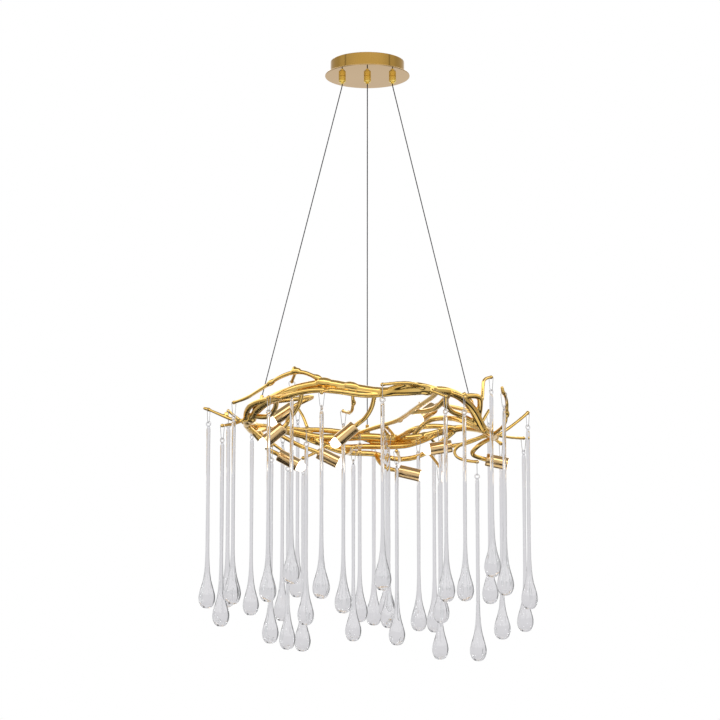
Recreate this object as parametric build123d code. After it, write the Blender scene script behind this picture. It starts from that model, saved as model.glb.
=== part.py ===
from build123d import *
import os
from math import cos, radians, sin, sqrt, tan

# Glass chandelier. z = 0 is the ceiling, x is to the right, the photographed side faces -y.

# Canopy
drum_diameter = 135.0
drum_height = 25.0
drum_wall = 1.2
plate_diameter = 155.0
plate_thickness = 2.0
bracket_width = 24.0
bracket_thickness = 2.0
bracket_ear = 14.0
bracket_clearance = 0.3
slot_spacing = 60.0
slot_length = 16.0
slot_width = 5.0
screw_diameter = 4.0
screw_length = 8.0
screw_clearance = 0.1
terminal_length = 26.0
terminal_depth = 14.0
terminal_height = 11.0
terminal_offset = 32.0

# Cable grippers, in a row on the plate
gripper_spacing = 46.0
gripper_diameter = 13.0
gripper_height = 11.0
gripper_chamfer = 1.2
stem_diameter = 8.0
stem_clearance = 0.1
nut_across = 13.0
nut_height = 4.0
stem_reach = 1.5
plunger_diameter = 6.4
plunger_clearance = 0.06
plunger_show = 3.0
plunger_seat = 6.0
plunger_travel = 2.0
cable_passage = 0.5

# Suspension cables
cable_diameter = 2.0
cable_bend = 30.0
cable_tail = 3.0
ferrule_diameter = 10.0
ferrule_length = 22.0

# Branch wreath: its mean circle, and a level below the ceiling
wreath_radius = 220.0
wreath_level = -650.0
front_thickness = 18.0
back_thickness = 16.0
side_thickness = 14.0
strand_thickness = 11.0
crown_thickness = 9.0
twig_thickness = 6.0
bend_share = 0.42

# Lamps
sleeve_diameter = 23.0
sleeve_length = 40.0
sleeve_wall = 1.0
sleeve_base = 2.0
arm_diameter = 8.0
socket_length = 20.0
socket_clearance = 0.3
bulb_diameter = 18.0
bulb_show = 14.0
pin_diameter = 1.6
pin_length = 6.0
pin_spacing = 9.0
pin_clearance = 0.1

# Wire hooks and glass drops
wire_diameter = 1.0
hook_hole = 2.0
hook_inset = 4.0
hole_drill = 24.0
hook_side_clearance = 0.6
hook_corner = 1.5
hook_height = 24.0
hook_foot = 5.4
hook_foot_corner = 2.0
hook_seat = 0.05
loop_radius = 3.9
loop_wire = 2.6
loop_clearance = 0.25
drop_length = 329.0
drop_diameter = 30.0
drop_widest = 21.0
drop_taper = 92.0
rod_diameter = 6.8

# Every route is a hand-drawn list of places: angle round the wreath in degrees, with 270 at
# the front, then the distance outside its mean circle and the height above its level.
front_route = [
    (206, -2, -14), (216, 4, -7), (228, 7, 0), (240, 7, 9), (251, 8, 12), (262, 6, 3), (273, 5, -5),
    (285, 7, -4), (297, 8, 2), (308, 4, 6), (318, 0, 0), (329, -2, -16), (338, 0, -46),
]
front_strands = [
    [(216, 4, -7), (230, 18, -9), (245, 20, 0), (258, 17, -5), (272, 9, -15), (285, 7, -4)],
    [(278, 6, -4), (284, 14, 6), (291, 16, 9), (297, 14, 6), (303, 6, 4)],
    [(318, 0, 0), (324, 12, 6), (329, 14, 0), (333, -1, -28)],
    [(200, -4, -20), (206, -20, -28), (214, -22, -19), (221, -9, -9), (226, 7, -1)],
    [(308, 4, 6), (311, -16, -12), (319, -28, -22), (328, -24, -26), (336, -4, -40)],
]
crown_route = [(251, 8, 12), (245, 13, 29), (238, 15, 36), (231, 23, 28), (224, 31, 12), (217, 37, 0)]
left_route = [
    (206, -2, -14), (197, -6, -24), (187, -2, -29), (174, -3, -22), (160, 2, -12), (146, 1, -8), (131, 2, -7),
]
left_strands = [
    [(222, 6, -4), (212, 14, -5), (203, 12, -13), (195, 4, -26), (187, -2, -29)],
    [(187, -2, -29), (178, -10, -34), (166, -9, -30), (154, -4, -20), (146, 1, -8)],
]
back_route = [
    (134, 2, -7), (118, 4, -14), (104, 2, -12), (90, 0, -8), (76, 3, -14), (62, 5, -12), (48, 7, -4),
    (36, 5, -6),
]
back_strands = [
    [(118, 4, -14), (112, -10, -32), (100, -6, -42), (86, 2, -40), (74, -4, -57), (58, -2, -47), (44, 7, -6)],
    [(131, 2, -7), (120, 11, 1), (107, 11, 3), (96, 10, -4), (84, 10, -22), (72, 11, -24), (62, 5, -12)],
    [(124, 3, -12), (114, 4, -26), (102, 3, -30), (90, 6, -26), (78, 4, -29), (66, 2, -27), (54, 6, -9)],
    [(76, 3, -14), (70, -24, -12), (61, -52, -8), (51, -50, -4), (45, -22, -3), (43, 6, -5)],
]
right_route = [(338, 0, -46), (349, 5, -50), (0, 8, -46), (12, 6, -32), (24, 4, -16), (37, 5, -6)]
right_strands = [
    [(325, -2, -11), (334, -11, -24), (345, -10, -36), (356, -4, -36), (6, 0, -32), (18, 5, -24)],
    [(340, -2, -46), (347, -47, -21), (9, -84, -7), (30, -100, -7), (47, -90, -23)],
]
inner_route = [
    (303, 6, 5), (306, -18, 0), (324, -117, -6), (45, -136, -5), (79, -98, -6), (96, -29, -8), (98, 1, -10),
]
inner_strands = [
    [(310, 4, 5), (314, -32, -10), (324, -88, -15), (339, -137, -6)],
]

# Twigs that end in a hook hole, by branch; the last place of each is its tip.
front_twigs = [
    [(230, 18, -9), (230, 31, -8), (229, 46, -11)],
    [(254, 18, -4), (252, 28, -5), (252, 40, -12)],
    [(263, 6, 2), (263, -20, -20), (260, -52, -36), (251, -85, -21)],
    [(299, 10, 2), (291, 22, 8), (283, 26, 9), (275, 22, 4)],
    [(297, 8, 2), (299, 26, -4), (301, 45, -15)],
    [(309, 2, 3), (311, 16, 1), (313, 30, -9)],
    [(329, 14, 0), (331, 12, 20), (332, 11, 42), (337, 20, 45)],
]
crown_twigs = [
    [(217, 37, 0), (213, 41, -5), (208, 49, -7)],
    [(238, 15, 36), (235, 2, 32), (230, -13, 23)],
]
left_twigs = [
    [(197, -6, -24), (195, 16, -30), (192, 42, -18), (188, 69, -2)],
    [(195, 14, -29), (197, 34, -38), (199, 54, -41)],
    [(174, -3, -22), (173, 16, -8), (174, 35, 8)],
    [(146, 1, -8), (148, 18, 0), (147, 36, 4)],
    [(187, -2, -29), (184, -22, -44), (180, -51, -64)],
    [(160, 2, -12), (156, -20, -40), (148, -54, -66)],
    [(160, 2, -12), (158, -40, -14), (151, -98, -24)],
]
back_twigs = [
    [(132, 2, -7), (130, 16, -2), (129, 32, -1)],
    [(118, 4, -14), (119, 14, 12), (120, 26, 36), (120, 43, 48)],
    [(112, -10, -32), (120, -26, -50), (132, -41, -64)],
    [(104, 2, -12), (99, -12, -6), (93, -21, -2)],
    [(76, 3, -14), (82, 18, -8), (88, 32, -3)],
    [(76, 3, -14), (78, -12, 0), (80, -26, 6)],
    [(100, -6, -42), (101, -50, -52), (102, -99, -45)],
    [(74, -4, -57), (69, -50, -60), (63, -104, -54)],
    [(62, 5, -12), (61, -8, -14), (62, -24, -24)],
    [(62, 5, -12), (60, 20, -12), (61, 38, -21)],
    [(58, -2, -47), (53, -10, -64), (48, -20, -78)],
    [(48, 7, -4), (42, -24, -8), (37, -55, -16)],
]
right_twigs = [
    [(349, 5, -50), (341, 37, -43), (335, 50, -19), (332, 56, 2), (327, 62, 7)],
    [(0, 8, -46), (2, 36, -30), (6, 73, 5)],
    [(12, 6, -32), (17, 46, -36), (23, 93, -28)],
    [(12, 6, -32), (13, 18, -44), (14, 32, -50)],
    [(349, 5, -50), (351, -36, -56), (352, -68, -73), (353, -56, -93), (354, -20, -95)],
    [(24, 4, -16), (25, 14, 6), (28, 34, 24)],
]
inner_twigs = [
    [(79, -98, -6), (77, -82, -10), (75, -64, -21)],
]

# Lamp arms: each route starts in a branch and its last place is the back of the lamp sleeve;
# the aim is a place that the open end of the sleeve points at.
lamp_routes = [
    ([(240, 7, 9), (236, -14, -10), (228, -30, -26), (221, -34, -37), (219, -30, -49)], (214, -5, -74)),
    (
        [(216, 4, -7), (219, -50, 2), (218, -88, 12), (212, -106, 16), (207, -100, 12), (204, -74, -3)],
        (201, -44, -25),
    ),
    ([(174, -3, -22), (170, -22, -46), (168, -38, -64), (166, -55, -72)], (163, -85, -89)),
    ([(273, 5, -5), (273, -20, -22), (269, -46, -42), (262, -60, -54)], (253, -54, -77)),
    ([(146, 1, -8), (146, -30, -26), (139, -58, -46), (128, -74, -56)], (114, -90, -74)),
    ([(331, -2, -21), (340, -44, -5), (358, -80, 10), (6, -87, 17), (3, -102, 8)], (351, -127, -15)),
    ([(12, 6, -32), (13, -20, -44), (17, -40, -51), (21, -56, -53)], (27, -87, -58)),
    ([(86, 2, -40), (84, -26, -62), (76, -50, -79), (69, -57, -84)], (60, -47, -91)),
    ([(0, 8, -46), (355, -8, -56), (353, -24, -68), (356, -36, -80), (2, -8, -86)], (2, 30, -94)),
]

# Where each cable is fixed: the place on a branch, and the gripper's x
cable_ends = {
    "left": ((210, 0, -11), -gripper_spacing),
    "centre": ((90, 0, -8), 0.0),
    "right": ((327, -2, -13), gripper_spacing),
}


def place(angle, outset, rise):
    radius = wreath_radius + outset
    return Vector(radius * cos(radians(angle)), radius * sin(radians(angle)), wreath_level + rise)


def bend_radii(points, share):
    radii = []
    for before, corner, after in zip(points, points[1:], points[2:]):
        shorter = min((corner - before).length, (after - corner).length)
        turn = (corner - before).get_angle(after - corner)
        radii.append(share * shorter / tan(radians(turn / 2)))
    return radii


def rod(points, diameter):
    path = FilletPolyline(*points, radius=bend_radii(points, bend_share))
    section = Plane(origin=points[0], z_dir=points[1] - points[0]) * Circle(diameter / 2)
    return sweep(section, path=path)


def limb(route, diameter):
    return rod([place(*spot) for spot in route], diameter)


def largest(shape):
    return max(shape.solids(), key=lambda solid: solid.volume)


def hook_seat_of(twig):
    before, tip = (place(*spot) for spot in twig[-2:])
    along = (tip - before).normalized()
    hole_axis = Vector(-along.Y, along.X, 0).normalized()
    return tip - along * hook_inset, hole_axis


def drilled(branch, twigs):
    for twig in twigs:
        centre, hole_axis = hook_seat_of(twig)
        drill = Cylinder(hook_hole / 2, hole_drill)
        branch -= Plane(origin=centre, z_dir=hole_axis) * drill
    return branch


def branch(route, thickness, strands, twigs):
    body = Part() + limb(route, thickness)
    body += [limb(strand, strand_thickness) for strand in strands]
    body += [limb(twig, twig_thickness) for twig in twigs]
    return largest(drilled(body, twigs))


parts = {}

# Canopy: drum cup, plate below it, bracket above with an ear at each end
drum_radius = drum_diameter / 2
drum_inner = drum_radius - drum_wall
drum_floor = -drum_height + drum_wall
plate_top = -drum_height
plate_bottom = plate_top - plate_thickness
gripper_places = {name: gripper_x for name, (spot, gripper_x) in cable_ends.items()}
stem_hole = Cylinder(stem_diameter / 2 + stem_clearance, drum_height)
stem_holes = [Pos(x, 0, plate_top) * stem_hole for x in gripper_places.values()]
screw_level = -bracket_thickness - bracket_ear / 2
screw_hole = Cylinder(screw_diameter / 2 + screw_clearance, plate_diameter + drum_diameter)
screw_hole = Pos(0, 0, screw_level) * Rot(0, 90, 0) * screw_hole

align_top = (Align.CENTER, Align.CENTER, Align.MAX)
align_bottom = (Align.CENTER, Align.CENTER, Align.MIN)
drum = Cylinder(drum_radius, drum_height, align=align_top)
drum -= Cylinder(drum_inner, drum_height - drum_wall, align=align_top)
drum -= stem_holes
parts["canopy_drum"] = drum - screw_hole
plate = Cylinder(plate_diameter / 2, plate_thickness, align=align_top)
parts["canopy_plate"] = Pos(0, 0, plate_top) * plate - stem_holes

bracket_half = sqrt((drum_inner - bracket_clearance) ** 2 - (bracket_width / 2) ** 2)
bracket = Box(2 * bracket_half, bracket_width, bracket_thickness, align=align_top)
align_corner = (Align.MAX, Align.CENTER, Align.MAX)
ear = Box(bracket_thickness, bracket_width, bracket_thickness + bracket_ear, align=align_corner)
bracket += [Pos(bracket_half, 0, 0) * ear, Rot(0, 0, 180) * Pos(bracket_half, 0, 0) * ear]
slot = extrude(SlotOverall(slot_length, slot_width), bracket_thickness, both=True)
bracket -= [Pos(x * slot_spacing / 2, 0, 0) * slot for x in (-1, 1)]
parts["ceiling_bracket"] = bracket - screw_hole

screw = Cylinder(screw_diameter / 2, screw_length, align=align_top)
screw = Pos(drum_radius, 0, screw_level) * Rot(0, 90, 0) * screw
parts["canopy_screws"] = [screw, Rot(0, 0, 180) * screw]

terminal = Box(terminal_length, terminal_depth, terminal_height, align=align_bottom)
parts["terminal_block"] = Pos(0, terminal_offset, drum_floor) * terminal

# Grippers: barrel with a threaded stem, a nut inside the drum, a release plunger below
cable_radius = cable_diameter / 2
passage = cable_radius + cable_passage
gripper_bottom = plate_bottom - gripper_height
stem_top = drum_floor + nut_height + stem_reach
plunger_bore = plunger_diameter / 2 + plunger_clearance
plunger_top = gripper_bottom + plunger_seat
plunger_bottom = gripper_bottom - plunger_show
barrel = Pos(0, 0, plate_bottom) * Cylinder(gripper_diameter / 2, gripper_height, align=align_top)
barrel = chamfer(barrel.edges().group_by(Axis.Z)[0], gripper_chamfer)
barrel += Pos(0, 0, plate_bottom) * Cylinder(stem_diameter / 2, stem_top - plate_bottom, align=align_bottom)
barrel -= Pos(0, 0, gripper_bottom) * Cylinder(passage, stem_top - gripper_bottom, align=align_bottom)
bore_depth = plunger_seat + plunger_travel + cable_passage
barrel -= Pos(0, 0, gripper_bottom) * Cylinder(plunger_bore, bore_depth, align=align_bottom)
nut = extrude(RegularPolygon(nut_across / 2, 6, major_radius=False), nut_height)
nut -= Cylinder(stem_diameter / 2 + stem_clearance, nut_height, align=align_bottom)
nut = Pos(0, 0, drum_floor) * nut
plunger = Cylinder(plunger_diameter / 2, plunger_seat + plunger_show, align=align_top)
plunger -= Cylinder(passage, plunger_seat + plunger_show, align=align_top)
plunger = Pos(0, 0, plunger_top) * plunger
parts["gripper_barrels"] = [Pos(x, 0, 0) * barrel for x in gripper_places.values()]
parts["gripper_nuts"] = [Pos(x, 0, 0) * nut for x in gripper_places.values()]
for name, x in gripper_places.items():
    parts[f"gripper_plunger_{name}"] = Pos(x, 0, 0) * plunger

# Branches: each is one welded piece, and a later one is coped to those before it
branches = {
    "front_branch": branch(front_route, front_thickness, front_strands, front_twigs),
    "back_branch": branch(back_route, back_thickness, back_strands, back_twigs),
    "left_branch": branch(left_route, side_thickness, left_strands, left_twigs),
    "right_branch": branch(right_route, side_thickness, right_strands, right_twigs),
    "crown_branch": branch(crown_route, crown_thickness, [], crown_twigs),
    "inner_branch": branch(inner_route, crown_thickness, inner_strands, inner_twigs),
}
welded = []
for name, body in branches.items():
    parts[name] = largest(body - welded) if welded else body
    welded.append(parts[name])

# Cables: straight down through the gripper, a bend, then a taut run to the ferrule
parts["cable_ferrules"] = []
for name, (spot, x) in cable_ends.items():
    anchor = place(*spot)
    corner = Vector(x, 0, plunger_bottom - cable_tail)
    pull = (corner - anchor).normalized()
    ferrule_top = anchor + pull * ferrule_length
    ferrule = Cylinder(ferrule_diameter / 2, ferrule_length, align=align_bottom)
    parts["cable_ferrules"].append(largest(Plane(origin=anchor, z_dir=pull) * ferrule - welded))
    route = [Vector(x, 0, stem_top), corner, ferrule_top]
    path = FilletPolyline(*route, radius=cable_bend)
    section = Plane(origin=route[0], z_dir=route[1] - route[0]) * Circle(cable_radius)
    parts[f"suspension_cable_{name}"] = sweep(section, path=path)
    print(f"{name} cable: length {path.length:.1f} mm, bend radius {cable_bend:.1f} mm")

# Lamps, each built upright on the back of its sleeve and then aimed
sleeve_inner = sleeve_diameter / 2 - sleeve_wall
sleeve = Cylinder(sleeve_diameter / 2, sleeve_length, align=align_bottom)
sleeve -= Pos(0, 0, sleeve_base) * Cylinder(sleeve_inner, sleeve_length, align=align_bottom)
socket_top = sleeve_base + socket_length
socket = Pos(0, 0, sleeve_base) * Cylinder(sleeve_inner - socket_clearance, socket_length, align=align_bottom)
pin_places = [Pos(side * pin_spacing / 2, 0, socket_top) for side in (-1, 1)]
pin_hole = Cylinder(pin_diameter / 2 + pin_clearance, pin_length, align=align_top)
socket -= [spot * pin_hole for spot in pin_places]
bulb_radius = bulb_diameter / 2
bulb_straight = sleeve_length + bulb_show - bulb_radius - socket_top
bulb = Pos(0, 0, socket_top) * Cylinder(bulb_radius, bulb_straight, align=align_bottom)
bulb += Pos(0, 0, socket_top + bulb_straight) * Sphere(bulb_radius)
bulb += [spot * Cylinder(pin_diameter / 2, pin_length, align=align_top) for spot in pin_places]
for name in ("lamp_arms", "lamp_sleeves", "lamp_sockets", "lamp_bulbs"):
    parts[name] = []
for route, aim in lamp_routes:
    back = place(*route[-1])
    lamp = Plane(origin=back, z_dir=place(*aim) - back)
    points = [place(*spot) for spot in route]
    points.insert(-1, back - lamp.z_dir * arm_diameter)
    parts["lamp_arms"].append(largest(rod(points, arm_diameter) - welded))
    parts["lamp_sleeves"].append(lamp * sleeve)
    parts["lamp_sockets"].append(lamp * socket)
    parts["lamp_bulbs"].append(lamp * bulb)

# Glass drop, with the middle of its hook's foot at the origin and the hole of its loop along x
wire_radius = wire_diameter / 2
loop_centre = -(loop_radius - loop_wire / 2 - wire_radius - loop_clearance)
drop_bottom = loop_centre - drop_length
rod_top = loop_centre - loop_radius
rod_radius = rod_diameter / 2
widest = (drop_diameter / 2, 0, drop_bottom + drop_widest)
rod_foot = (rod_radius, 0, drop_bottom + drop_taper)
belly = Spline((0, 0, drop_bottom), widest, tangents=[(1, 0, 0), (0, 0, 1)])
neck = Spline(widest, rod_foot, tangents=[(0, 0, 1), (0, 0, 1)])
rod_edge = Polyline(rod_foot, (rod_radius, 0, rod_top), (0, 0, rod_top), (0, 0, drop_bottom))
outline = belly + neck + rod_edge
drop = revolve(make_face(outline), Axis.Z)
drop += Pos(0, 0, loop_centre) * Rot(0, 90, 0) * Torus(loop_radius, loop_wire / 2)

# Wire hook: a closed loop, wide at the hole in the twig and narrow at its foot
hook_top = twig_thickness + 2 * (hook_side_clearance + hook_corner + wire_radius)
hook_points = [(0, 0, hook_height), (hook_top / 2, 0, hook_height), (hook_foot / 2, 0, 0), (0, 0, 0)]
hook_side = FilletPolyline(*hook_points, radius=[hook_corner, hook_foot_corner])
hook_half = sweep(Plane(origin=hook_points[0], z_dir=(1, 0, 0)) * Circle(wire_radius), path=hook_side)
hook = hook_half + Rot(0, 0, 180) * hook_half

parts["drop_hooks"] = []
drop_seats = {}
tips = front_twigs + crown_twigs + left_twigs + back_twigs + right_twigs + inner_twigs
for number, twig in enumerate(tips, 1):
    hole, hole_axis = hook_seat_of(twig)
    top = hole - Vector(0, 0, hook_hole / 2 - wire_radius - hook_seat)
    seat = Plane(origin=top - Vector(0, 0, hook_height), x_dir=hole_axis, z_dir=(0, 0, 1))
    parts["drop_hooks"].append(seat * hook)
    parts[f"glass_drop_{number:02d}"] = seat * drop
    drop_seats[f"glass_drop_{number:02d}"] = (seat.origin, hole_axis)

os.makedirs("parts", exist_ok=True)
for name, shape in parts.items():
    pieces = shape if isinstance(shape, list) else [shape]
    solids = [solid for piece in pieces for solid in piece.solids()]
    export_step(Compound(label=name, children=solids), f"parts/{name}.step")
print(len(parts), "nodes,", len(drop_seats), "drops")
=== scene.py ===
import math
import random

import bpy
from mathutils import Matrix, Vector


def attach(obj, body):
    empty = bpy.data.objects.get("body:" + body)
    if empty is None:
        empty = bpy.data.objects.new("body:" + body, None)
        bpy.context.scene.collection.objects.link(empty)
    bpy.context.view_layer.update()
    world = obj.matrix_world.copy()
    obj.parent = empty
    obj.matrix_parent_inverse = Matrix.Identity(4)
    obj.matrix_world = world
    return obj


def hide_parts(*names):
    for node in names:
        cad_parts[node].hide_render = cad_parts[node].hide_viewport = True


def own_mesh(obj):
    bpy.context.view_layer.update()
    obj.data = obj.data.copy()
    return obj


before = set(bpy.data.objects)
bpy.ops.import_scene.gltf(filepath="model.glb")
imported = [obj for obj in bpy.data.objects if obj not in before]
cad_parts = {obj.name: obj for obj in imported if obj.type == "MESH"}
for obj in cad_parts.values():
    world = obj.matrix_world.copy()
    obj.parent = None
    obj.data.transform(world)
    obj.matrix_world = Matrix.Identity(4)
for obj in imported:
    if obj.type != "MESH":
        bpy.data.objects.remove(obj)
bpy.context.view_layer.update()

# Glass chandelier: the ceiling is at z = 0 and the photographed side faces -Y.
# The settings of the pieces are in millimetres, the scene and its studio in metres.
mm = 0.001
scene = bpy.context.scene
scene.view_settings.view_transform = "Standard"
print("frame loaded:", len(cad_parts), "nodes")


# Materials
metalFinish = {"patchDetail": 3.0, "dentDetail": 2.0, "dentStrength": 0.35}
glassFinish = {"streakSize": 6.0, "streakShare": 0.15, "waveDepth": 0.3, "waveStrength": 0.25}
bulbFinish = {"cloudSize": 8.0, "shade": "#FFEBCB", "light": "#FFF9EE"}
grainFinish = {"detail": 4.0, "depth": 0.05, "strength": 0.2}


def linear(hexColour):
    channels = [int(hexColour[i:i + 2], 16) / 255 for i in (1, 3, 5)]
    return [c / 12.92 if c <= 0.04045 else ((c + 0.055) / 1.055) ** 2.4 for c in channels] + [1.0]


def addNode(tree, kind, values=None, links=None, **settings):
    node = tree.nodes.new(kind)
    for name, value in settings.items():
        setattr(node, name, value)
    for socket, value in (values or {}).items():
        node.inputs[socket].default_value = value
    for socket, source in (links or {}).items():
        tree.links.new(source, node.inputs[socket])
    return node


def newMaterial(name, **sockets):
    material = bpy.data.materials.new(name)
    material.use_nodes = True
    tree = material.node_tree
    shader = tree.nodes["Principled BSDF"]
    for socket, value in sockets.items():
        shader.inputs[socket.replace("_", " ")].default_value = value
    coords = addNode(tree, "ShaderNodeTexCoord")
    return material, tree, shader, coords.outputs["Object"]


def noiseOf(tree, vector, size, detail):
    # Cloudy noise whose features are about so many millimetres wide
    values = {"Scale": 1 / (size * mm), "Detail": detail}
    return addNode(tree, "ShaderNodeTexNoise", values, {"Vector": vector}).outputs["Fac"]


def mixOf(tree, dark, light, factor):
    values = {"A": linear(dark), "B": linear(light)}
    return addNode(tree, "ShaderNodeMix", values, {"Factor": factor}, data_type="RGBA").outputs["Result"]


def roughen(tree, shader, height, strength, depth):
    bump = addNode(tree, "ShaderNodeBump", {"Strength": strength, "Distance": depth * mm}, {"Height": height})
    tree.links.new(bump.outputs["Normal"], shader.inputs["Normal"])


def patchyMetal(name, dark, light, roughness, patchSize, dentSize, dentDepth, metallic=1.0):
    # Plated metal: tone and gloss drift in patches, with faint dents from hand polishing
    material, tree, shader, coords = newMaterial(name, Metallic=metallic)
    patches = noiseOf(tree, coords, patchSize, metalFinish["patchDetail"])
    tone = mixOf(tree, dark, light, patches)
    gloss = addNode(tree, "ShaderNodeMapRange", {"To Min": roughness[0], "To Max": roughness[1]},
                    {"Value": patches})
    dents = noiseOf(tree, coords, dentSize, metalFinish["dentDetail"])
    tree.links.new(tone, shader.inputs["Base Color"])
    tree.links.new(gloss.outputs["Result"], shader.inputs["Roughness"])
    roughen(tree, shader, dents, metalFinish["dentStrength"], dentDepth)
    return material


# Gold-plated cast branches, polished by hand: bright, with slow dents
branchGold = patchyMetal("gold_plated_branch", "#D8A948", "#ECCB84", (0.07, 0.15), 28.0, 22.0, 0.3)
# Spun drum of the canopy: polished to a mirror
drumGold = patchyMetal("gold_mirror_drum", "#C39747", "#D0A65A", (0.06, 0.10), 60.0, 30.0, 0.05)
# Rolled mirror plate below it: a paler, rosier gold
plateGold = patchyMetal("gold_mirror_plate", "#CCA772", "#D4B17C", (0.05, 0.08), 70.0, 40.0, 0.03)
# Turned grippers: bright yellow gold under clear lacquer, so less of a mirror
gripperGold = patchyMetal("gold_lacquered_turned", "#FFD75A", "#FFE88A", (0.08, 0.16), 8.0, 4.0, 0.02, 0.8)
# Turned lamp sleeves: polished, a little rosier than the branches
sleeveGold = patchyMetal("gold_rose_turned", "#D6AF76", "#E8C996", (0.04, 0.08), 12.0, 5.0, 0.02)
# Drawn stainless wire rope, dulled in its grooves
ropeSteel = patchyMetal("steel_wire_rope", "#2C2C2E", "#48484B", (0.34, 0.48), 4.0, 1.0, 0.05)
# Bright drawn spring wire of the hooks
hookSteel = patchyMetal("steel_bright_wire", "#9A9A9C", "#C8C8CA", (0.18, 0.30), 3.0, 1.0, 0.02)
# Zinc-plated sheet steel of the bracket, nuts and screws
zincSteel = patchyMetal("steel_zinc_plated", "#9C9EA2", "#C2C4C8", (0.28, 0.42), 9.0, 2.0, 0.03)


def makeGlass():
    # Hand-drawn clear glass: colourless, with long soft streaks along the rod
    material, tree, shader, coords = newMaterial(
        "glass_hand_drawn", Base_Color=linear("#FBFCFC"), Roughness=0.0, IOR=1.5, Transmission_Weight=1.0)
    stretch = (1.0, 1.0, glassFinish["streakShare"])
    streak = addNode(tree, "ShaderNodeMapping", {"Scale": stretch}, {"Vector": coords})
    waves = noiseOf(tree, streak.outputs["Vector"], glassFinish["streakSize"], detail=1.0)
    roughen(tree, shader, waves, glassFinish["waveStrength"], glassFinish["waveDepth"])
    return material


def makeBulb():
    # Frosted capsule bulb, lit: warm white all through, faintly clouded
    material, tree, shader, coords = newMaterial(
        "glass_frosted_lit", Base_Color=linear("#FBF7F0"), Roughness=0.5, Emission_Strength=2.5)
    cloud = noiseOf(tree, coords, bulbFinish["cloudSize"], detail=1.0)
    tone = mixOf(tree, bulbFinish["shade"], bulbFinish["light"], cloud)
    tree.links.new(tone, shader.inputs["Emission Color"])
    return material


def speckled(name, dark, light, roughness, grain):
    # Pressed ceramic or moulded plastic: a fine mottle and a faint grain
    material, tree, shader, coords = newMaterial(name, Roughness=roughness)
    mottle = noiseOf(tree, coords, grain, grainFinish["detail"])
    tree.links.new(mixOf(tree, dark, light, mottle), shader.inputs["Base Color"])
    roughen(tree, shader, mottle, grainFinish["strength"], grainFinish["depth"])
    return material


dropGlass = makeGlass()
litBulb = makeBulb()
socketCeramic = speckled("ceramic_steatite", "#E2DCCB", "#F1ECDF", 0.35, 1.5)
terminalNylon = speckled("nylon_moulded", "#DADAD6", "#ECECE8", 0.45, 1.0)
print("materials made:", len(bpy.data.materials))


# Modelling helpers
spinning = {"mergeGap": 0.02, "sliver": 0.01}


def pickOnly(*objects):
    bpy.ops.object.select_all(action="DESELECT")
    for piece in objects:
        piece.select_set(True)
    bpy.context.view_layer.objects.active = objects[0]


def applyModifier(piece, kind, **settings):
    pickOnly(piece)
    bpy.ops.object.modifier_add(type=kind)
    modifier = piece.modifiers[-1]
    for name, value in settings.items():
        setattr(modifier, name, value)
    bpy.ops.object.modifier_apply(modifier=modifier.name)


def joined(pieces):
    pickOnly(*pieces)
    if len(pieces) > 1:
        bpy.ops.object.join()
    return bpy.context.view_layer.objects.active


def drawLine(points, radii=None, order=3, resolution=8):
    bpy.ops.object.select_all(action="DESELECT")
    bpy.ops.curve.primitive_nurbs_path_add(location=(0, 0, 0))
    line = bpy.context.view_layer.objects.active
    curve = line.data
    curve.splines.clear()
    spline = curve.splines.new("NURBS")
    spline.points.add(len(points) - 1)
    for number, (knot, spot) in enumerate(zip(spline.points, points)):
        knot.co = (*spot, 1.0)
        knot.radius = radii[number] if radii else 1.0
    spline.order_u = order
    spline.use_endpoint_u = True
    spline.resolution_u = resolution
    curve.resolution_u = resolution
    return line


def tube(points, radii, sides=4):
    line = drawLine(points, radii)
    line.data.bevel_depth = 1.0
    line.data.bevel_resolution = sides
    line.data.use_fill_caps = True
    pickOnly(line)
    bpy.ops.object.convert(target="MESH")
    return bpy.context.view_layer.objects.active


def turned(profile, steps=40, order=2, resolution=6):
    # A profile of (radius, height) in millimetres, spun round its own axis
    spots = [(radius * mm, 0, height * mm) for radius, height in profile]
    line = drawLine(spots, order=order, resolution=resolution)
    pickOnly(line)
    bpy.ops.object.convert(target="MESH")
    piece = bpy.context.view_layer.objects.active
    bpy.ops.object.mode_set(mode="EDIT")
    bpy.ops.mesh.select_all(action="SELECT")
    bpy.ops.mesh.spin(steps=steps, angle=2 * math.pi, center=(0, 0, 0), axis=(0, 0, 1))
    bpy.ops.mesh.select_all(action="SELECT")
    bpy.ops.mesh.remove_doubles(threshold=spinning["mergeGap"] * mm)
    bpy.ops.mesh.dissolve_degenerate(threshold=spinning["sliver"] * mm)
    bpy.ops.mesh.normals_make_consistent(inside=False)
    bpy.ops.object.mode_set(mode="OBJECT")
    return piece


def placedCopy(piece, matrix):
    copy = piece.copy()
    copy.data = piece.data.copy()
    scene.collection.objects.link(copy)
    copy.data.transform(matrix)
    return copy


def poseAt(spot, facing):
    # Stands a piece that was made along Z at a spot, facing a direction
    return Matrix.Translation(spot) @ facing.to_track_quat("Z", "Y").to_matrix().to_4x4()


def throwAway(piece):
    bpy.data.objects.remove(piece, do_unlink=True)


def finishPiece(piece, name, material, body, slot, *nodes, angle=35):
    piece.name = name
    piece.data.name = name
    piece.data.materials.clear()
    piece.data.materials.append(material)
    pickOnly(piece)
    bpy.ops.object.shade_smooth_by_angle(angle=math.radians(angle))
    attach(piece, body)
    if nodes:
        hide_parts(*nodes)
    return piece


# Camera, at the photograph's viewing angle
photoView = {"focalLength": 152.65, "sensor": 36.0, "aim": (-13.5, 0.0, -556.0), "distance": 5495.0,
             "pitch": 10.94, "farthestSeen": 50.0}


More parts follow.
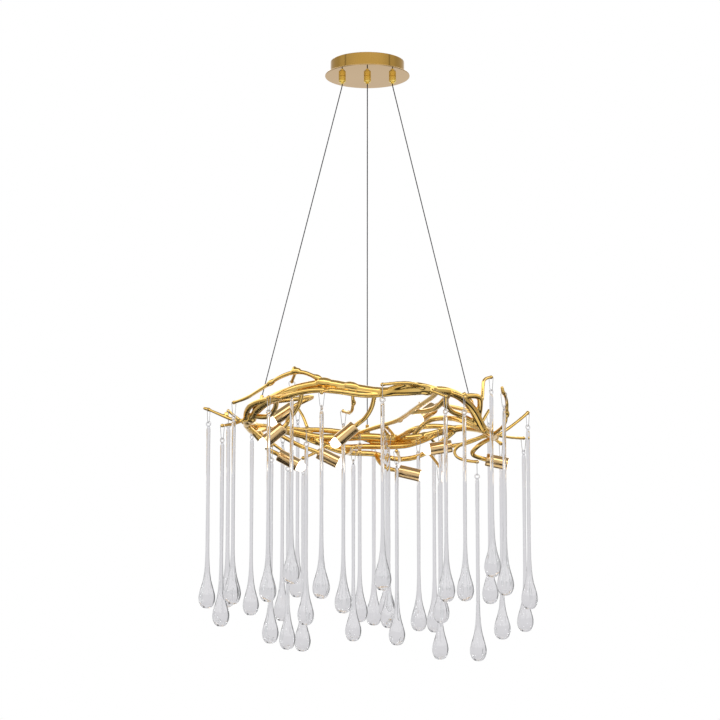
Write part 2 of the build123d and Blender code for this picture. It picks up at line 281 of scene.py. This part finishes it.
def placeCamera(view):
    pitch = math.radians(view["pitch"])
    aim = Vector(view["aim"])
    spot = aim - Vector((0, math.cos(pitch), math.sin(pitch))) * view["distance"]
    bpy.ops.object.camera_add(location=spot * mm, rotation=(math.radians(90) + pitch, 0, 0))
    camera = bpy.context.object
    camera.data.lens = view["focalLength"]
    camera.data.sensor_width = view["sensor"]
    camera.data.clip_end = view["farthestSeen"]
    scene.camera = camera


placeCamera(photoView)
print("camera placed")

# Wreath places: angle round it in degrees, 270 at the front; distance outside its mean circle;
# height above its level
wreath = {"radius": 220.0, "level": -650.0}


def place(angle, outset, rise):
    radius = wreath["radius"] + outset
    turn = math.radians(angle)
    return Vector((radius * math.cos(turn), radius * math.sin(turn), wreath["level"] + rise)) * mm


# Suspension cables: wire rope from the gripper to the knob on the wreath
cables = {
    "diameter": 2.0, "stemTop": -18.3, "mouth": -41.0, "corner": -44.0, "knobLength": 22.0, "settle": 12.0,
    "strands": 6, "strandDepth": 0.12, "layLength": 11.0, "sides": 24, "ringSpacing": 0.9, "fineness": 400,
    "shadeAngle": 60, "gripperSpacing": 46.0,
    # place on the wreath, and which gripper along the row
    "ends": {"left": ((210, 0, -11), -1), "centre": ((90, 0, -8), 0), "right": ((327, -2, -13), 1)},
}


def gripperSpot(gripper, height):
    # A spot on the axis of one of the three grippers, at a height that the settings name
    return Vector((gripper * cables["gripperSpacing"], 0, cables[height])) * mm


def cableRoute(side):
    spot, gripper = cables["ends"][side]
    top, mouth, corner = [gripperSpot(gripper, height) for height in ("stemTop", "mouth", "corner")]
    anchor = place(*spot)
    pull = (corner - anchor).normalized()
    settled = corner - pull * cables["settle"] * mm
    return [top, mouth, corner, settled, anchor + pull * cables["knobLength"] * mm]


def splinePoints(route, resolution):
    line = drawLine(route, resolution=resolution)
    mesh = bpy.data.meshes.new_from_object(line)
    spots = [vertex.co.copy() for vertex in mesh.vertices]
    bpy.data.meshes.remove(mesh)
    throwAway(line)
    points = spots[:1]
    for spot in spots[1:-1]:
        if (spot - points[-1]).length > cables["ringSpacing"] * mm:
            points.append(spot)
    return points + spots[-1:]


def twistedRope(points, settings):
    # Rings of a fluted section, turned along the path, so the strands show as a helix
    radius = settings["diameter"] / 2
    vertices, faces = [], []
    sides = settings["sides"]
    travelled = 0.0
    for number, spot in enumerate(points):
        ahead = points[min(number + 1, len(points) - 1)] - points[max(number - 1, 0)]
        travelled += (spot - points[number - 1]).length / mm if number else 0.0
        across = ahead.cross(Vector((0, 1, 0))).normalized()
        upright = across.cross(ahead).normalized()
        for side in range(sides):
            turn = 2 * math.pi * side / sides
            lay = turn + 2 * math.pi * travelled / settings["layLength"]
            groove = settings["strandDepth"] * (0.5 - 0.5 * math.cos(settings["strands"] * turn))
            reach = (radius - groove) * mm
            vertices.append(spot + (across * math.cos(lay) + upright * math.sin(lay)) * reach)
        if number:
            low, high = (number - 1) * sides, number * sides
            for side in range(sides):
                after = (side + 1) % sides
                faces.append((low + side, low + after, high + after, high + side))
    faces.append(tuple(reversed(range(sides))))
    faces.append(tuple(range(len(vertices) - sides, len(vertices))))
    mesh = bpy.data.meshes.new("rope")
    mesh.from_pydata([tuple(v) for v in vertices], [], faces)
    rope = bpy.data.objects.new("rope", mesh)
    scene.collection.objects.link(rope)
    pickOnly(rope)
    bpy.ops.object.mode_set(mode="EDIT")
    bpy.ops.mesh.select_all(action="SELECT")
    bpy.ops.mesh.normals_make_consistent(inside=False)
    bpy.ops.object.mode_set(mode="OBJECT")
    return rope


def pathLength(points):
    return sum((after - before).length for before, after in zip(points, points[1:]))


for side in cables["ends"]:
    route = cableRoute(side)
    points = splinePoints(route, cables["fineness"])
    rope = finishPiece(twistedRope(points, cables), f"suspensionCable_{side}", ropeSteel, "canopy",
                       "cable_steel", f"suspension_cable_{side}", angle=cables["shadeAngle"])
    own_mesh(rope)
    print(f"cable {side}: {pathLength(points) / mm:.1f} mm")


# Branches, drawn one by one. A limb is a route, its thickness at the butt and the share left at the far end.
# A twig is a route to the tip that a drop hangs from. A knot is a swelling: its spot, a spot it is drawn out
# towards, and its radius. A nub is a cut stub: its root, its tip and its thickness.
branches = {
    "front": {
        "limbs": [
            ([(206, -2, -14), (216, 4, -7), (228, 7, 0), (240, 7, 9), (251, 8, 12), (262, 6, 3),
              (273, 5, -5), (285, 7, -4), (297, 8, 2), (308, 4, 6), (318, 0, 0), (329, -2, -16),
              (338, 0, -46)], 18.0, 0.85),
            ([(216, 4, -7), (230, 18, -9), (245, 20, 0), (258, 17, -5), (272, 9, -15),
              (285, 7, -4)], 11.0, 0.93),
            ([(278, 6, -4), (284, 14, 6), (291, 16, 9), (297, 14, 6), (303, 6, 4)], 11.0, 0.93),
            ([(318, 0, 0), (324, 12, 6), (329, 14, 0), (333, -1, -28)], 11.0, 0.93),
            ([(200, -4, -20), (206, -20, -28), (214, -22, -19), (221, -9, -9), (226, 7, -1)], 11.0, 0.93),
            ([(308, 4, 6), (311, -16, -12), (319, -28, -22), (328, -24, -26), (336, -4, -40)], 11.0, 0.93),
        ],
        "twigs": [
            [(230, 18, -9), (230, 31, -8), (229, 46, -11)],
            [(254, 18, -4), (252, 28, -5), (252, 40, -12)],
            [(263, 6, 2), (263, -20, -20), (260, -52, -36), (251, -85, -21)],
            [(299, 10, 2), (291, 22, 8), (283, 26, 9), (275, 22, 4)],
            [(297, 8, 2), (299, 26, -4), (301, 45, -15)],
            [(309, 2, 3), (311, 16, 1), (313, 30, -9)],
            [(329, 14, 0), (331, 12, 20), (332, 11, 42), (337, 20, 45)],
        ],
        "knots": [((251, 8, 12), (258, 7, 7), 10.0), ((263, 8, 4), (269, 6, -2), 8.8),
                  ((297, 8, 2), (303, 6, 5), 10.0), ((263, -20, -20), (261, -46, -33), 4.6)],
        "nubs": [((259, -56, -34), (258, -60, -25), 4.5), ((318, 4, 3), (319, 7, 7), 7.0)],
    },
    "crown": {
        "limbs": [
            ([(251, 8, 12), (245, 13, 29), (238, 15, 36), (231, 23, 28), (224, 31, 12),
              (217, 37, 0)], 9.0, 0.75),
        ],
        "twigs": [
            [(217, 37, 0), (213, 41, -5), (208, 49, -7)],
            [(238, 15, 36), (235, 2, 32), (230, -13, 23)],
        ],
        "knots": [((238, 15, 36), (234, 19, 33), 6.0), ((227, 27, 19), (223, 32, 10), 5.6),
                  ((248, 10, 21), (245, 13, 29), 6.2)],
        "nubs": [((238, 15, 34), (237, 16, 44), 9.0)],
    },
    "left": {
        "limbs": [
            ([(206, -2, -14), (197, -6, -24), (187, -2, -29), (174, -3, -22), (160, 2, -12), (146, 1, -8),
              (131, 2, -7)], 14.0, 0.95),
            ([(222, 6, -4), (212, 14, -5), (203, 12, -13), (195, 4, -26), (187, -2, -29)], 11.0, 0.95),
            ([(187, -2, -29), (178, -10, -34), (166, -9, -30), (154, -4, -20), (146, 1, -8)], 11.0, 0.95),
        ],
        "twigs": [
            [(197, -6, -24), (195, 16, -30), (192, 42, -18), (188, 69, -2)],
            [(195, 14, -29), (197, 34, -38), (199, 54, -41)],
            [(174, -3, -22), (173, 16, -8), (174, 35, 8)],
            [(146, 1, -8), (148, 18, 0), (147, 36, 4)],
            [(187, -2, -29), (184, -22, -44), (180, -51, -64)],
            [(160, 2, -12), (156, -20, -40), (148, -54, -66)],
            [(160, 2, -12), (158, -40, -14), (151, -98, -24)],
        ],
        "knots": [((197, -6, -24), (190, -3, -29), 8.0), ((160, 2, -12), (153, 1, -10), 7.8)],
        "nubs": [((192, 35, -21), (192, 37, -10), 8.0), ((188, 66, -3), (188, 76, -1), 7.0),
                 ((176, -3, -20), (177, 2, -10), 5.0)],
    },
    "back": {
        "limbs": [
            ([(134, 2, -7), (118, 4, -14), (104, 2, -12), (90, 0, -8), (76, 3, -14), (62, 5, -12),
              (48, 7, -4), (36, 5, -6)], 16.0, 0.9),
            ([(118, 4, -14), (112, -10, -32), (100, -6, -42), (86, 2, -40), (74, -4, -57), (58, -2, -47),
              (44, 7, -6)], 11.0, 0.95),
            ([(131, 2, -7), (120, 11, 1), (107, 11, 3), (96, 10, -4), (84, 10, -22), (72, 11, -24),
              (62, 5, -12)], 11.0, 0.95),
            ([(124, 3, -12), (114, 4, -26), (102, 3, -30), (90, 6, -26), (78, 4, -29), (66, 2, -27),
              (54, 6, -9)], 11.0, 0.95),
            ([(76, 3, -14), (70, -24, -12), (61, -52, -8), (51, -50, -4), (45, -22, -3),
              (43, 6, -5)], 11.0, 0.95),
        ],
        "twigs": [
            [(132, 2, -7), (130, 16, -2), (129, 32, -1)],
            [(118, 4, -14), (119, 14, 12), (120, 26, 36), (120, 43, 48)],
            [(112, -10, -32), (120, -26, -50), (132, -41, -64)],
            [(104, 2, -12), (99, -12, -6), (93, -21, -2)],
            [(76, 3, -14), (82, 18, -8), (88, 32, -3)],
            [(76, 3, -14), (78, -12, 0), (80, -26, 6)],
            [(100, -6, -42), (101, -50, -52), (102, -99, -45)],
            [(74, -4, -57), (69, -50, -60), (63, -104, -54)],
            [(62, 5, -12), (61, -8, -14), (62, -24, -24)],
            [(62, 5, -12), (60, 20, -12), (61, 38, -21)],
            [(58, -2, -47), (53, -10, -64), (48, -20, -78)],
            [(48, 7, -4), (42, -24, -8), (37, -55, -16)],
        ],
        "knots": [((118, 4, -14), (111, 3, -13), 9.0), ((62, 5, -12), (55, 6, -8), 9.0)],
        "nubs": [((96, 0, -8), (95, -2, 4), 6.0), ((68, 4, -10), (67, 6, 2), 6.0)],
    },
    "right": {
        "limbs": [
            ([(338, 0, -46), (349, 5, -50), (0, 8, -46), (12, 6, -32), (24, 4, -16),
              (37, 5, -6)], 14.0, 0.95),
            ([(325, -2, -11), (334, -11, -24), (345, -10, -36), (356, -4, -36), (6, 0, -32),
              (18, 5, -24)], 11.0, 0.95),
            ([(340, -2, -46), (347, -47, -21), (9, -84, -7), (30, -100, -7), (47, -90, -23)], 11.0, 0.95),
        ],
        "twigs": [
            [(349, 5, -50), (341, 37, -43), (335, 50, -19), (332, 56, 2), (327, 62, 7)],
            [(0, 8, -46), (2, 36, -30), (6, 73, 5)],
            [(12, 6, -32), (17, 46, -36), (23, 93, -28)],
            [(12, 6, -32), (13, 18, -44), (14, 32, -50)],
            [(349, 5, -50), (351, -36, -56), (352, -68, -73), (353, -56, -93), (354, -20, -95)],
            [(24, 4, -16), (25, 14, 6), (28, 34, 24)],
        ],
        "knots": [((0, 8, -46), (6, 7, -40), 7.9), ((12, 6, -32), (18, 5, -24), 7.9),
                  ((336, 48, -24), (334, 52, -14), 5.0)],
        "nubs": [((327, 62, 5), (326, 62, 17), 7.5)],
    },
    "inner": {
        "limbs": [
            ([(303, 6, 5), (306, -18, 0), (324, -117, -6), (45, -136, -5), (79, -98, -6), (96, -29, -8),
              (98, 1, -10)], 9.0, 0.95),
            ([(310, 4, 5), (314, -32, -10), (324, -88, -15), (339, -137, -6)], 11.0, 0.9),
        ],
        "twigs": [
            [(79, -98, -6), (77, -82, -10), (75, -64, -21)],
        ],
        "knots": [((45, -136, -5), (60, -118, -5), 5.2)],
        "nubs": [((320, -100, -5), (322, -104, 5), 4.5)],
    },
}
branchFinish = {"twig": 7.2, "twigTip": 0.86, "voxel": 1.2, "smoothing": 18, "unevenness": 0.05, "seed": 7,
                "holeWidth": 2.2, "holeInset": 4.0, "holeDepth": 20.0, "holeSides": 14, "rippleSize": 30.0,
                "rippleDepth": 0.9, "knotStretch": 1.7, "tipKnob": 4.1, "ballFineness": 3, "softness": 0.5,
                "shadeAngle": 50}


def tipHole(twig):
    # The middle of the hook's hole near a twig's end, and the direction it is drilled in
    before, tip = place(*twig[-2]), place(*twig[-1])
    along = (tip - before).normalized()
    return tip - along * branchFinish["holeInset"] * mm, Vector((-along.y, along.x, 0)).normalized()


def unevenTube(route, thickness, endShare, chance):
    points = [place(*spot) for spot in route]
    last = len(points) - 1
    radii = [thickness / 2 * mm * (1 + (endShare - 1) * number / last)
             * (1 + branchFinish["unevenness"] * chance.uniform(-1, 1)) for number in range(last + 1)]
    return tube(points, radii)


def knotBall(spot, towards, radius):
    # A swelling drawn out along its limb
    spot, towards = place(*spot), place(*towards)
    bpy.ops.mesh.primitive_ico_sphere_add(subdivisions=branchFinish["ballFineness"], radius=radius * mm,
                                          location=spot, scale=(1.0, 1.0, branchFinish["knotStretch"]),
                                          rotation=(towards - spot).to_track_quat("Z", "Y").to_euler())
    ball = bpy.context.object
    bpy.ops.object.transform_apply(location=True, rotation=True, scale=True)
    return ball


def tipKnob(twig):
    # The rounded end of a twig, round the hook's hole
    bpy.ops.mesh.primitive_ico_sphere_add(subdivisions=branchFinish["ballFineness"],
                                          radius=branchFinish["tipKnob"] * mm, location=tipHole(twig)[0])
    bpy.ops.object.transform_apply(location=True, rotation=True, scale=True)
    return bpy.context.object


def holeCutter(twigs):
    cutters = []
    for twig in twigs:
        centre, axis = tipHole(twig)
        bpy.ops.mesh.primitive_cylinder_add(vertices=branchFinish["holeSides"], location=centre,
                                            radius=branchFinish["holeWidth"] / 2 * mm,
                                            depth=branchFinish["holeDepth"] * mm,
                                            rotation=axis.to_track_quat("Z", "Y").to_euler())
        bpy.ops.object.transform_apply(location=True, rotation=True, scale=True)
        cutters.append(bpy.context.object)
    return joined(cutters)


ripple = bpy.data.textures.new("branchRipple", "CLOUDS")
ripple.noise_scale = branchFinish["rippleSize"] * mm
ripple.noise_depth = 1


def growBranch(name, plan, chance):
    taper = branchFinish["twigTip"]
    wood = [unevenTube(*limb, chance) for limb in plan["limbs"]]
    wood += [unevenTube(twig, branchFinish["twig"], taper, chance) for twig in plan["twigs"]]
    wood += [unevenTube([root, tip], width, taper, chance) for root, tip, width in plan["nubs"]]
    wood += [knotBall(*knot) for knot in plan["knots"]]
    wood += [tipKnob(twig) for twig in plan["twigs"]]
    branch = joined(wood)
    applyModifier(branch, "REMESH", mode="VOXEL", voxel_size=branchFinish["voxel"] * mm)
    applyModifier(branch, "SMOOTH", factor=branchFinish["softness"], iterations=branchFinish["smoothing"])
    applyModifier(branch, "DISPLACE", texture=ripple, texture_coords="LOCAL", mid_level=0.5,
                  strength=branchFinish["rippleDepth"] * mm)
    cutter = holeCutter(plan["twigs"])
    applyModifier(branch, "BOOLEAN", operation="DIFFERENCE", object=cutter, solver="MANIFOLD")
    throwAway(cutter)
    finishPiece(branch, f"{name}Branch", branchGold, "wreath", "polished_gold", f"{name}_branch",
                angle=branchFinish["shadeAngle"])
    print(f"{name} branch: {len(branch.data.polygons)} faces")


chance = random.Random(branchFinish["seed"])
for name, plan in branches.items():
    growBranch(name, plan, chance)

# Knobs where the cables meet the wreath
knob = {"diameter": 10.0, "neck": 6.4, "lip": 1.0, "bodyShare": 0.55, "slopeShare": 0.62, "neckShare": 0.68,
        "steps": 32}


def makeKnobs():
    radius, length, neck, lip = knob["diameter"] / 2, cables["knobLength"], knob["neck"] / 2, knob["lip"]
    master = turned([(0, 0), (radius - lip, 0), (radius, lip), (radius, length * knob["bodyShare"]),
                     (radius - lip, length * knob["slopeShare"]), (neck, length * knob["neckShare"]),
                     (neck, length - lip), (neck - lip, length), (0, length)], knob["steps"])
    copies = []
    for spot, gripper in cables["ends"].values():
        anchor = place(*spot)
        copies.append(placedCopy(master, poseAt(anchor, gripperSpot(gripper, "corner") - anchor)))
    throwAway(master)
    finishPiece(joined(copies), "cableKnobs", branchGold, "wreath", "polished_gold", "cable_ferrules")


makeKnobs()
print("knobs made:", len(cables["ends"]))

# Lamps: curved arm, sleeve and frosted capsule bulb
lamps = {
    "armDiameter": 8.0, "armUnevenness": 0.03, "armSides": 6,
    "sleeveDiameter": 23.0, "sleeveLength": 40.0, "sleeveWall": 1.0, "sleeveBase": 2.0, "edge": 0.5,
    "backEdge": 1.5, "sleeveSteps": 48,
    "socketTop": 22.0, "bulbDiameter": 18.0, "bulbShow": 14.0, "bulbSteps": 32, "domeStep": 10,
    # the arm's route from the branch to the back of the sleeve, and where the lamp points
    "routes": [
        ([(240, 7, 9), (236, -14, -10), (228, -30, -26), (221, -34, -37), (219, -30, -49)], (214, -5, -74)),
        ([(216, 4, -7), (219, -50, 2), (218, -88, 12), (212, -106, 16), (207, -100, 12),
          (204, -74, -3)], (201, -44, -25)),
        ([(174, -3, -22), (170, -22, -46), (168, -38, -64), (166, -55, -72)], (163, -85, -89)),
        ([(273, 5, -5), (273, -20, -22), (269, -46, -42), (262, -60, -54)], (253, -54, -77)),
        ([(146, 1, -8), (146, -30, -26), (139, -58, -46), (128, -74, -56)], (114, -90, -74)),
        ([(331, -2, -21), (340, -44, -5), (358, -80, 10), (6, -87, 17), (3, -102, 8)], (351, -127, -15)),
        ([(12, 6, -32), (13, -20, -44), (17, -40, -51), (21, -56, -53)], (27, -87, -58)),
        ([(86, 2, -40), (84, -26, -62), (76, -50, -79), (69, -57, -84)], (60, -47, -91)),
        ([(0, 8, -46), (355, -8, -56), (353, -24, -68), (356, -36, -80), (2, -8, -86)], (2, 30, -94)),
    ],
}


def makeLamps():
    radius, length, base = lamps["sleeveDiameter"] / 2, lamps["sleeveLength"], lamps["sleeveBase"]
    inner, edge, backEdge = radius - lamps["sleeveWall"], lamps["edge"], lamps["backEdge"]
    sleeve = turned([(0, 0), (radius - backEdge, 0), (radius - edge, edge), (radius, backEdge),
                     (radius, length - edge), (radius - edge, length), (inner, length - edge), (inner, base),
                     (0, base)], lamps["sleeveSteps"])
    bulbRadius = lamps["bulbDiameter"] / 2
    tip = length + lamps["bulbShow"]
    shoulder = tip - bulbRadius
    turns = [math.radians(angle) for angle in range(0, 90, lamps["domeStep"])]
    dome = [(bulbRadius * math.cos(turn), shoulder + bulbRadius * math.sin(turn)) for turn in turns]
    foot = [(0, lamps["socketTop"]), (bulbRadius, lamps["socketTop"])]
    bulb = turned(foot + dome + [(0, tip)], lamps["bulbSteps"])
    arms, sleeves, bulbs = [], [], []
    for route, aim in lamps["routes"]:
        back = place(*route[-1])
        facing = (place(*aim) - back).normalized()
        points = [place(*spot) for spot in route]
        points.insert(-1, back - facing * lamps["armDiameter"] * mm)
        radii = [lamps["armDiameter"] / 2 * mm * (1 + lamps["armUnevenness"] * chance.uniform(-1, 1))
                 for _ in points]
        arms.append(tube(points, radii, lamps["armSides"]))
        pose = poseAt(back, facing)
        sleeves.append(placedCopy(sleeve, pose))
        bulbs.append(placedCopy(bulb, pose))
    throwAway(sleeve)
    throwAway(bulb)
    finishPiece(joined(arms), "lampArms", branchGold, "wreath", "polished_gold", "lamp_arms")
    finishPiece(joined(sleeves), "lampSleeves", sleeveGold, "wreath", "polished_gold", "lamp_sleeves")
    finishPiece(joined(bulbs), "lampBulbs", litBulb, "wreath", "frosted_bulb", "lamp_bulbs")


makeLamps()
print("lamps made:", len(lamps["routes"]))

# Glass drops: a drawn rod that swells to a bulb, with a loop at the top
drops = {
    "length": 329.0, "hookHeight": 24.0, "hookWire": 1.0, "holeWidth": 2.0, "seat": 0.05, "loopRadius": 3.9,
    "loopWire": 2.6, "loopClearance": 0.25, "loopSegments": 28, "wireSegments": 12, "steps": 36,
    "smoothness": 5, "shoulder": 4.0, "neckShare": 0.75, "waveSize": 55.0, "waveDepth": 0.5, "shadeAngle": 80,
    # diameters at heights above the bottom
    "swell": [(0, 0), (13, 0.2), (24.5, 6), (31, 17), (28, 28), (20, 40), (13.5, 53), (9.2, 70), (7, 92),
              (6.3, 120), (6.4, 195), (6.6, 280), (7, 311)],
}


def dropMaster():
    # Made round the foot of its hook, which passes through the loop
    loopRadius, wire = drops["loopRadius"], drops["loopWire"]
    loopCentre = -(loopRadius - wire / 2 - drops["hookWire"] / 2 - drops["loopClearance"])
    bottom = loopCentre - drops["length"]
    rodTop = loopCentre - loopRadius
    outline = [(width / 2, bottom + height) for width, height in drops["swell"]]
    outline += [(outline[-1][0], rodTop - drops["shoulder"]), (wire * drops["neckShare"], rodTop),
                (0, rodTop)]
    rod = turned(outline, drops["steps"], order=3, resolution=drops["smoothness"])
    bpy.ops.mesh.primitive_torus_add(major_radius=loopRadius * mm, minor_radius=wire / 2 * mm,
                                     major_segments=drops["loopSegments"],
                                     minor_segments=drops["wireSegments"],
                                     location=(0, 0, loopCentre * mm), rotation=(0, math.pi / 2, 0))
    ring = bpy.context.object
    bpy.ops.object.transform_apply(location=True, rotation=True, scale=True)
    applyModifier(rod, "BOOLEAN", operation="UNION", object=ring, solver="EXACT")
    throwAway(ring)
    return rod


waves = bpy.data.textures.new("glassWaves", "CLOUDS")
waves.noise_scale = drops["waveSize"] * mm
waves.noise_depth = 0


def hangDrops():
    master = dropMaster()
    twigs = [twig for plan in branches.values() for twig in plan["twigs"]]
    # the hook rests on the lower side of its hole
    sag = drops["holeWidth"] / 2 - drops["hookWire"] / 2 - drops["seat"]
    for number, twig in enumerate(twigs, 1):
        hole, axis = tipHole(twig)
        foot = hole - Vector((0, 0, sag)) * mm - Vector((0, 0, drops["hookHeight"])) * mm
        turn = Matrix.Rotation(math.atan2(axis.y, axis.x), 4, "Z")
        drop = placedCopy(master, Matrix.Translation(foot) @ turn)
        applyModifier(drop, "DISPLACE", texture=waves, texture_coords="LOCAL", mid_level=0.5,
                      strength=drops["waveDepth"] * mm)
        finishPiece(drop, f"glassDrop_{number:02d}", dropGlass, f"drop_{number:02d}", "clear_glass",
                    f"glass_drop_{number:02d}", angle=drops["shadeAngle"])
    throwAway(master)
    return len(twigs)


print("drops hung:", hangDrops())

# Canopy: a spun cup with a wider plate under it, and three cable grippers in a row
canopy = {"drumDiameter": 135.0, "drumHeight": 25.0, "wall": 1.2, "plateDiameter": 155.0,
          "plateThickness": 2.0, "edge": 0.5, "steps": 128, "gripperDiameter": 13.0, "gripperHeight": 11.0,
          "chamfer": 1.2, "gripperEdge": 0.3, "stemDiameter": 8.0, "passage": 3.0, "gripperSteps": 40}


def makeCanopy():
    outer, height, edge = canopy["drumDiameter"] / 2, canopy["drumHeight"], canopy["edge"]
    wall = canopy["wall"]
    drum = turned([(0, -height), (outer - edge, -height), (outer, -height + edge), (outer, -edge),
                   (outer - edge, 0), (outer - wall, 0), (outer - wall, -height + wall),
                   (0, -height + wall)], canopy["steps"])
    finishPiece(drum, "canopyDrum", drumGold, "canopy", "polished_gold", "canopy_drum")
    rim = canopy["plateDiameter"] / 2
    below = -height - canopy["plateThickness"]
    plate = turned([(0, -height), (rim - edge, -height), (rim, -height - edge), (rim, below + edge),
                    (rim - edge, below), (0, below)], canopy["steps"])
    finishPiece(plate, "canopyPlate", plateGold, "canopy", "polished_gold", "canopy_plate")
    radius, bore, stem = canopy["gripperDiameter"] / 2, canopy["passage"] / 2, canopy["stemDiameter"] / 2
    bottom, top = below - canopy["gripperHeight"], cables["stemTop"]
    slope, ease = canopy["chamfer"], canopy["gripperEdge"]
    barrel = turned([(bore, bottom), (radius - slope, bottom), (radius, bottom + slope),
                     (radius, below - ease), (radius - ease, below), (stem, below), (stem, top), (bore, top),
                     (bore, bottom)], canopy["gripperSteps"])
    places = [gripper * cables["gripperSpacing"] * mm for _, gripper in cables["ends"].values()]
    barrels = [placedCopy(barrel, Matrix.Translation((x, 0, 0))) for x in places]
    throwAway(barrel)
    finishPiece(joined(barrels), "gripperBarrels", gripperGold, "canopy", "polished_gold", "gripper_barrels")


makeCanopy()
print("canopy made")

# CAD nodes that stay, with their finishes
keptNodes = {
    "ceiling_bracket": zincSteel, "canopy_screws": drumGold, "terminal_block": terminalNylon,
    "gripper_nuts": zincSteel, "gripper_plunger_left": gripperGold, "gripper_plunger_centre": gripperGold,
    "gripper_plunger_right": gripperGold, "lamp_sockets": socketCeramic, "drop_hooks": hookSteel,
}
for node, material in keptNodes.items():
    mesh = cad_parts[node].data
    mesh.materials.clear()
    mesh.materials.append(material)
print("CAD nodes dressed:", len(keptNodes))

# Studio: white all round to the eye, with soft darker bands that the gold and the glass pick up
studio = {
    "floorLevel": -4.2, "floorSize": 24.0, "floorTones": ("#F2F1EF", "#FAFAF9"), "floorPatches": 1.5,
    # place, size and power
    "softboxes": {"keySoftbox": ((-2.2, -2.6, 1.4), 1.2, 60.0), "fillSoftbox": ((2.6, -1.6, 0.2), 1.6, 25.0)},
    "lightTarget": (0, 0, -0.65),
    # shares of the way and brightness: from straight down to straight up, left to right, and front to back
    "heightTones": ((0.0, 1.2), (0.04, 1.1), (0.07, 0.04), (0.2, 0.04), (0.26, 0.55), (0.4, 0.95), (0.6, 0.9),
                    (0.66, 0.8), (0.7, 2.6), (0.82, 2.6), (0.87, 0.45), (1.0, 0.4)),
    "sideTones": ((0.0, 0.75), (0.15, 0.9), (0.3, 1.0), (0.7, 1.0), (0.85, 0.95), (1.0, 0.7)),
    "depthTones": ((0.0, 1.0), (0.33, 1.0), (0.35, 0.55), (0.37, 0.55), (0.39, 1.0), (0.5, 1.0), (0.6, 0.8),
                   (0.9, 0.7), (0.96, 0.95), (1.0, 0.95)),
    "glassTone": "#D9D7DA", "flagTone": "#2A2A2C", "flagDirection": (-0.9, 0.42, 0.0),
    "flagEdge": (0.93, 0.975), "flagTallness": 0.35,
}


def makeFloor():
    bpy.ops.mesh.primitive_plane_add(size=studio["floorSize"], location=(0, 0, studio["floorLevel"]))
    floor = bpy.context.object
    floor.name = "studioFloor"
    material, tree, shader, coords = newMaterial("floor_painted", Roughness=0.9)
    patches = addNode(tree, "ShaderNodeTexNoise", {"Scale": studio["floorPatches"]}, {"Vector": coords})
    tone = mixOf(tree, *studio["floorTones"], patches.outputs["Fac"])
    tree.links.new(tone, shader.inputs["Base Color"])
    floor.data.materials.append(material)
    floor.visible_glossy = False
    floor.visible_transmission = False


def toneRamp(tree, source, stops):
    # Grey tones along one axis of the directions, which run from -1 to 1
    share = addNode(tree, "ShaderNodeMapRange", {"From Min": -1.0, "From Max": 1.0}, {"Value": source})
    ramp = addNode(tree, "ShaderNodeValToRGB", links={"Fac": share.outputs["Result"]})
    elements = ramp.color_ramp.elements
    for position, tone in stops:
        # a new ramp already has its first and last stop
        stop = elements.new(position) if 0 < position < 1 else elements[-int(position)]
        stop.color = (tone, tone, tone, 1.0)
    return ramp.outputs["Color"]


def makeWorld():
    world = bpy.data.worlds.new("studio")
    scene.world = world
    world.use_nodes = True
    tree = world.node_tree
    tree.nodes.clear()
    direction = addNode(tree, "ShaderNodeTexCoord").outputs["Generated"]
    axes = addNode(tree, "ShaderNodeSeparateXYZ", links={"Vector": direction})
    # what metal reflects: softboxes and black flags, in bands up, across and in depth
    mirrored = toneRamp(tree, axes.outputs["Z"], studio["heightTones"])
    for axis, stops in (("X", studio["sideTones"]), ("Y", studio["depthTones"])):
        mirrored = addNode(tree, "ShaderNodeMix", {"Factor": 1.0},
                           {"A": mirrored, "B": toneRamp(tree, axes.outputs[axis], stops)},
                           data_type="RGBA", blend_type="MULTIPLY").outputs["Result"]
    # what glass bends to the eye: an even pale grey, with two dark flags that draw its edges
    level = addNode(tree, "ShaderNodeVectorMath", {1: (1.0, 1.0, studio["flagTallness"])}, {0: direction},
                    operation="MULTIPLY")
    bearing = addNode(tree, "ShaderNodeVectorMath", links={0: level.outputs["Vector"]}, operation="NORMALIZE")
    flag = addNode(tree, "ShaderNodeVectorMath", {1: Vector(studio["flagDirection"]).normalized()},
                   {0: bearing.outputs["Vector"]}, operation="DOT_PRODUCT")
    flagSize = addNode(tree, "ShaderNodeMath", links={0: flag.outputs["Value"]}, operation="ABSOLUTE")
    first, last = studio["flagEdge"]
    flagShare = addNode(tree, "ShaderNodeMapRange", {"From Min": first, "From Max": last},
                        {"Value": flagSize.outputs["Value"]}, interpolation_type="SMOOTHSTEP")
    bent = mixOf(tree, studio["glassTone"], studio["flagTone"], flagShare.outputs["Result"])
    path = addNode(tree, "ShaderNodeLightPath").outputs
    through = addNode(tree, "ShaderNodeMix", data_type="RGBA",
                      links={"Factor": path["Is Transmission Ray"], "A": mirrored, "B": bent})
    seen = addNode(tree, "ShaderNodeMix", {"B": linear("#FFFFFF")},
                   {"Factor": path["Is Camera Ray"], "A": through.outputs["Result"]}, data_type="RGBA")
    glow = addNode(tree, "ShaderNodeBackground", links={"Color": seen.outputs["Result"]})
    addNode(tree, "ShaderNodeOutputWorld", links={"Surface": glow.outputs["Background"]})


def makeLights():
    for name, (spot, size, power) in studio["softboxes"].items():
        bpy.ops.object.light_add(type="AREA", location=spot)
        light = bpy.context.object
        light.name = name
        light.data.energy = power
        light.data.size = size
        light.visible_glossy = False
        aim = Vector(studio["lightTarget"]) - Vector(spot)
        light.rotation_euler = aim.to_track_quat("-Z", "Y").to_euler()


makeFloor()
makeWorld()
makeLights()
print("studio made")
